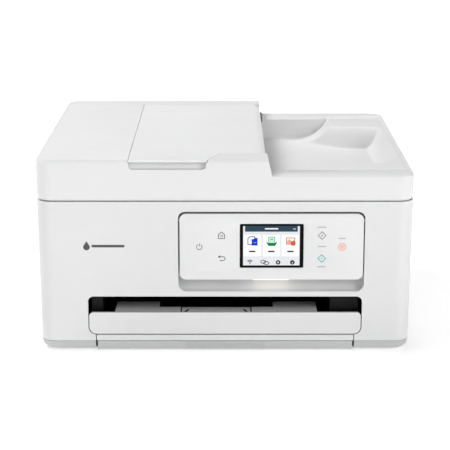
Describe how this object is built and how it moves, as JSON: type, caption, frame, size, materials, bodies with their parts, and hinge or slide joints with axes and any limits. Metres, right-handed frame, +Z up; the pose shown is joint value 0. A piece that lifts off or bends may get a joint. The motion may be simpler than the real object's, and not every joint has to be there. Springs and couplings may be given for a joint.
{
  "type": "inkjet printer",
  "caption": "White all-in-one inkjet printer with a sheet feeder on its scanner lid, a tilting touch panel, a pull-out paper cassette and an output tray.",
  "frame": {"origin": "middle of the footprint, on the surface that the printer stands on", "axes": "+X to the right as seen from the front, +Y from the front to the back, +Z up; the control panel faces -Y"},
  "size_m": [0.376, 0.359, 0.197],
  "materials": {
    "case_white": "fine moulded texture, satin white",
    "lid_white": "fine moulded texture, satin white",
    "panel_white": "smooth satin white",
    "base_grey": "fine moulded texture, light grey",
    "pad_white": "white foam-backed sheet",
    "inner_black": "satin black",
    "inner_grey": "satin dark grey",
    "screen_black": "glossy black",
    "status_light": "translucent, lit",
    "scan_glass": "clear",
    "steel": "zinc-plated",
    "gear_nylon": "natural acetal",
    "roller_rubber": "matte",
    "foot_rubber": "matte",
    "board_green": "solder mask"
  },
  "bodies": {
    "case": {"base_pan": "base_grey", "foot_front_left": "foot_rubber", "foot_front_right": "foot_rubber", "foot_rear_left": "foot_rubber", "foot_rear_right": "foot_rubber", "outer_case": "case_white", "rear_panel": "case_white", "scanner_bezel": "case_white", "platen_glass": "scan_glass", "feeder_scan_glass": "scan_glass", "bay_liner": "inner_black", "chassis": "inner_black", "carriage_rail": "steel", "print_platen": "inner_black", "main_board": "board_green", "power_supply": "inner_black", "carriage_motor": "steel", "drive_belt": "roller_rubber", "feed_motor": "steel", "lid_hinge_left": "steel", "lid_hinge_right": "steel"},
    "ink_carriage": {"carriage": "inner_grey", "black_cartridge": "inner_black", "colour_cartridge": "inner_black"},
    "belt_drive_pulley": {"motor_pulley": "gear_nylon"},
    "belt_idler_pulley": {"idler_pulley": "gear_nylon"},
    "feed_shaft": {"feed_roller": "roller_rubber", "feed_gear": "gear_nylon"},
    "exit_shaft": {"exit_roller": "roller_rubber", "exit_gear": "gear_nylon"},
    "idler_wheel": {"idler_gear": "gear_nylon"},
    "motor_pinion": {"feed_pinion": "gear_nylon"},
    "pickup_lever": {"pickup_arm": "inner_black"},
    "pickup_wheel": {"pickup_roller": "roller_rubber"},
    "cassette": {"cassette_tray": "base_grey", "cassette_front": "case_white"},
    "side_guide_left": {"paper_guide_left": "inner_grey"},
    "side_guide_right": {"paper_guide_right": "inner_grey"},
    "rear_guide": {"paper_guide_rear": "inner_grey"},
    "paper_tray": {"output_tray": "case_white"},
    "paper_stop": {"stop_flap": "case_white"},
    "panel": {"panel_front": "panel_white", "panel_back": "case_white", "touch_screen": "screen_black", "status_light": "status_light", "key_board_left": "board_green", "key_board_right": "board_green"},
    "sheet_exit_shaft": {"document_exit_roller": "roller_rubber"},
    "scan_head": {"scan_carriage": "inner_black"},
    "lid": {"lid_shell": "lid_white", "lid_base": "lid_white", "platen_pad": "pad_white"},
    "cover": {"feeder_cover": "lid_white"},
    "feed_tray": {"document_tray": "lid_white"},
    "document_edge_front": {"document_guide_front": "lid_white"},
    "document_edge_rear": {"document_guide_rear": "lid_white"},
    "sheet_wheel": {"feeder_roller": "roller_rubber"},
    "rear_door": {"rear_cover": "case_white"}
  },
  "joints": [
    {"name": "lid_hinge", "type": "hinge", "parent": "case", "child": "lid", "pos_m": [0, 0.1755, 0.1585], "axis": [-1, 0, 0], "range_deg": [0, 65]},
    {"name": "document_tray_hinge", "type": "hinge", "parent": "lid", "child": "feed_tray", "pos_m": [0.036, 0, 0.1905], "axis": [0, 1, 0], "range_deg": [0, 150]},
    {"name": "feeder_cover_hinge", "type": "hinge", "parent": "lid", "child": "cover", "pos_m": [-0.184, 0, 0.197], "axis": [0, -1, 0], "range_deg": [0, 75]},
    {"name": "document_guide_front_slide", "type": "slide", "parent": "feed_tray", "child": "document_edge_front", "axis": [0, 1, 0], "range_m": [0, 0.06]},
    {"name": "document_guide_rear_slide", "type": "slide", "parent": "feed_tray", "child": "document_edge_rear", "axis": [0, 1, 0], "range_m": [-0.06, 0]},
    {"name": "feeder_roller_spin", "type": "hinge", "parent": "lid", "child": "sheet_wheel", "pos_m": [-0.13, 0, 0.1862], "axis": [0, 1, 0], "continuous": true},
    {"name": "document_exit_roller_spin", "type": "hinge", "parent": "lid", "child": "sheet_exit_shaft", "pos_m": [0.022, 0, 0.167], "axis": [0, 1, 0], "continuous": true},
    {"name": "scan_head_slide", "type": "slide", "parent": "case", "child": "scan_head", "axis": [1, 0, 0], "range_m": [0, 0.3]},
    {"name": "panel_tilt", "type": "hinge", "parent": "case", "child": "panel", "pos_m": [0.046, -0.1748, 0.1358], "axis": [-1, 0, 0], "range_deg": [0, 45]},
    {"name": "output_tray_slide", "type": "slide", "parent": "case", "child": "paper_tray", "axis": [0, -1, 0], "range_m": [0, 0.095]},
    {"name": "stop_flap_hinge", "type": "hinge", "parent": "paper_tray", "child": "paper_stop", "pos_m": [-0.009, -0.1753, 0.0395], "axis": [1, 0, 0], "range_deg": [0, 100]},
    {"name": "cassette_slide", "type": "slide", "parent": "case", "child": "cassette", "axis": [0, -1, 0], "range_m": [0, 0.31]},
    {"name": "side_guide_left_slide", "type": "slide", "parent": "cassette", "child": "side_guide_left", "axis": [1, 0, 0], "range_m": [0, 0.055]},
    {"name": "side_guide_right_slide", "type": "slide", "parent": "cassette", "child": "side_guide_right", "axis": [1, 0, 0], "range_m": [-0.055, 0]},
    {"name": "rear_guide_slide", "type": "slide", "parent": "cassette", "child": "rear_guide", "axis": [0, -1, 0], "range_m": [0, 0.06]},
    {"name": "ink_carriage_slide", "type": "slide", "parent": "case", "child": "ink_carriage", "axis": [1, 0, 0], "range_m": [-0.235, 0]},
    {"name": "motor_pulley_spin", "type": "hinge", "parent": "case", "child": "belt_drive_pulley", "pos_m": [-0.165, 0.059, 0.095], "axis": [0, 1, 0], "range_deg": [-2250, 10]},
    {"name": "idler_pulley_spin", "type": "hinge", "parent": "case", "child": "belt_idler_pulley", "pos_m": [0.168, 0.059, 0.095], "axis": [0, 1, 0], "range_deg": [-2250, 10]},
    {"name": "feed_roller_spin", "type": "hinge", "parent": "case", "child": "feed_shaft", "pos_m": [0, 0.028, 0.047], "axis": [1, 0, 0], "continuous": true},
    {"name": "exit_roller_spin", "type": "hinge", "parent": "case", "child": "exit_shaft", "pos_m": [0, -0.044, 0.047], "axis": [1, 0, 0], "continuous": true},
    {"name": "idler_gear_spin", "type": "hinge", "parent": "case", "child": "idler_wheel", "pos_m": [-0.164, -0.008, 0.047], "axis": [1, 0, 0], "continuous": true},
    {"name": "feed_pinion_spin", "type": "hinge", "parent": "case", "child": "motor_pinion", "pos_m": [-0.164, 0.05966, 0.02987], "axis": [1, 0, 0], "continuous": true},
    {"name": "pickup_lever_swing", "type": "hinge", "parent": "case", "child": "pickup_lever", "pos_m": [-0.009, 0.088, 0.036], "axis": [1, 0, 0], "range_deg": [0, 20], "stiffness_Nm_per_rad": 0.05, "springref_deg": -22.92},
    {"name": "pickup_roller_spin", "type": "hinge", "parent": "pickup_lever", "child": "pickup_wheel", "pos_m": [0, 0.05, 0.0285], "axis": [1, 0, 0], "continuous": true},
    {"name": "rear_cover_hinge", "type": "hinge", "parent": "case", "child": "rear_door", "pos_m": [0, 0.1782, 0.0462], "axis": [-1, 0, 0], "range_deg": [0, 80]}
  ],
  "couplings": [
    {"joint": "document_guide_rear_slide", "follows": "document_guide_front_slide", "ratio": -1},
    {"joint": "side_guide_right_slide", "follows": "side_guide_left_slide", "ratio": -1},
    {"joint": "motor_pulley_spin", "follows": "ink_carriage_slide", "rad_per_m": 166.67},
    {"joint": "idler_pulley_spin", "follows": "ink_carriage_slide", "rad_per_m": 166.67},
    {"joint": "exit_roller_spin", "follows": "feed_roller_spin", "ratio": 1},
    {"joint": "idler_gear_spin", "follows": "feed_roller_spin", "ratio": -3.8},
    {"joint": "feed_pinion_spin", "follows": "feed_roller_spin", "ratio": -3.8}
  ]
}
